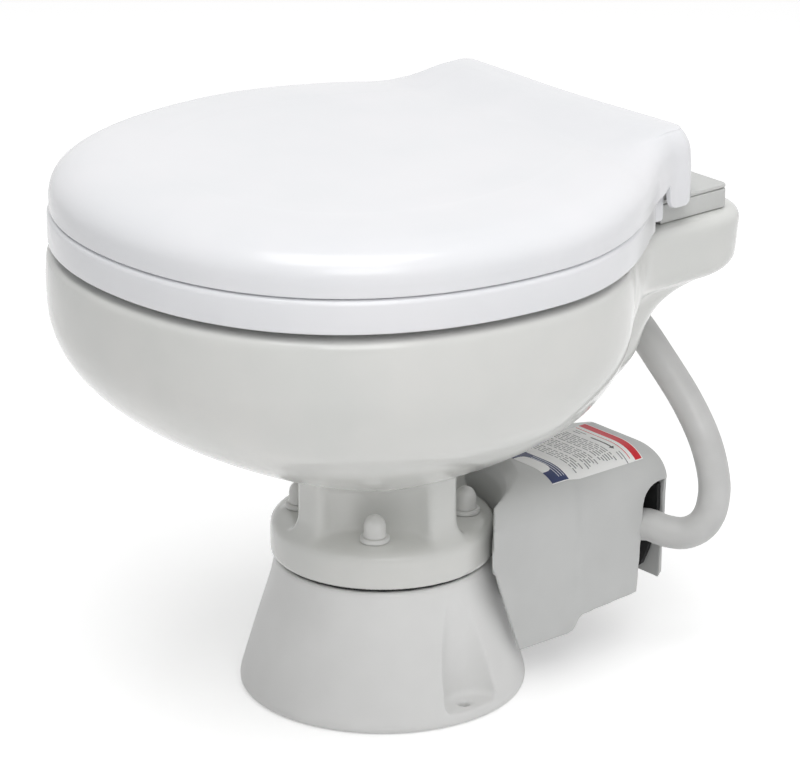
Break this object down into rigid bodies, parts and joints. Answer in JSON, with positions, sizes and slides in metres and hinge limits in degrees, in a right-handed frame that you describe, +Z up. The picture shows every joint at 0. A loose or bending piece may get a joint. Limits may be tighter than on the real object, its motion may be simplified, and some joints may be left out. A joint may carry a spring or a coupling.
{
  "type": "electric marine toilet",
  "caption": "Compact boat toilet with a round porcelain bowl, hinged seat and lid, a conical pedestal and a covered macerator motor with a rinse hose at the rear.",
  "frame": {"origin": "centre of the bounding box on the floor, at the underside of the pedestal", "axes": "+Z up, -Y towards the front of the bowl, +X to the right of someone sitting on it turned round, that is the right-hand side seen from the front"},
  "size_m": [0.366, 0.427, 0.3604],
  "materials": {
    "glazed_porcelain": "glossy white glaze",
    "seat_plastic": "smooth cool white",
    "pedestal_plastic": "satin light grey",
    "cover_plastic": "satin light grey",
    "hinge_plastic": "satin light grey",
    "cap_plastic": "satin off-white",
    "hose_vinyl": "satin light grey vinyl",
    "seal_rubber": "black",
    "buffer_rubber": "grey",
    "pump_plastic": "black",
    "stainless_steel": "plain",
    "motor_steel": "dark paint",
    "pump_brass": "plain",
    "label_film": "printed film"
  },
  "bodies": {
    "base": {"pedestal": "pedestal_plastic", "bowl_gasket": "seal_rubber", "bowl": "glazed_porcelain", "hinge_block": "hinge_plastic", "hinge_cover_plate": "hinge_plastic", "hinge_rod": "stainless_steel", "hinge_bolt_left": "stainless_steel", "hinge_bolt_right": "stainless_steel", "hinge_nut_left": "cap_plastic", "hinge_nut_right": "cap_plastic", "motor_cover": "cover_plastic", "cover_label": "label_film", "cover_screw_left": "stainless_steel", "cover_screw_right": "stainless_steel", "cable_gland": "pump_plastic", "outlet_elbow": "pump_plastic", "macerator_housing": "pump_plastic", "joker_valve": "seal_rubber", "discharge_spigot": "pump_plastic", "motor_adapter": "pump_plastic", "shaft_seal": "seal_rubber", "motor_can": "motor_steel", "motor_rear_bell": "motor_steel", "rinse_pump_body": "pump_plastic", "rinse_pump_lid": "pump_brass", "rinse_outlet_barb": "pump_plastic", "rinse_inlet_barb": "pump_plastic", "bowl_inlet_spigot": "pump_plastic", "rinse_hose": "hose_vinyl", "hose_clip_pump": "stainless_steel", "hose_clip_bowl": "stainless_steel", "flange_bolt_1": "stainless_steel", "flange_washer_1": "cap_plastic", "flange_nut_1": "stainless_steel", "dome_cap_1": "cap_plastic", "flange_bolt_2": "stainless_steel", "flange_washer_2": "cap_plastic", "flange_nut_2": "stainless_steel", "dome_cap_2": "cap_plastic", "flange_bolt_3": "stainless_steel", "flange_washer_3": "cap_plastic", "flange_nut_3": "stainless_steel", "dome_cap_3": "cap_plastic", "flange_bolt_4": "stainless_steel", "flange_washer_4": "cap_plastic", "flange_nut_4": "stainless_steel", "dome_cap_4": "cap_plastic"},
    "seat": {"seat_ring": "seat_plastic", "seat_bumper_1": "buffer_rubber", "seat_bumper_2": "buffer_rubber", "seat_bumper_3": "buffer_rubber", "seat_bumper_4": "buffer_rubber"},
    "lid_body": {"lid": "seat_plastic", "lid_bumper_1": "buffer_rubber", "lid_bumper_2": "buffer_rubber"},
    "pump_rotor": {"motor_shaft": "stainless_steel", "motor_armature": "motor_steel", "macerator_blade": "stainless_steel", "discharge_impeller": "pump_plastic", "rinse_impeller": "seal_rubber"}
  },
  "joints": [
    {"name": "seat_hinge", "type": "hinge", "parent": "base", "child": "seat", "pos_m": [0, 0.144, 0.341], "axis": [-1, 0, 0], "range_deg": [0, 90]},
    {"name": "lid_hinge", "type": "hinge", "parent": "seat", "child": "lid_body", "pos_m": [0, 0.144, 0.341], "axis": [-1, 0, 0], "range_deg": [0, 95]},
    {"name": "pump_spin", "type": "hinge", "parent": "base", "child": "pump_rotor", "pos_m": [0, 0.1135, 0.06], "axis": [0, 1, 0], "continuous": true}
  ]
}
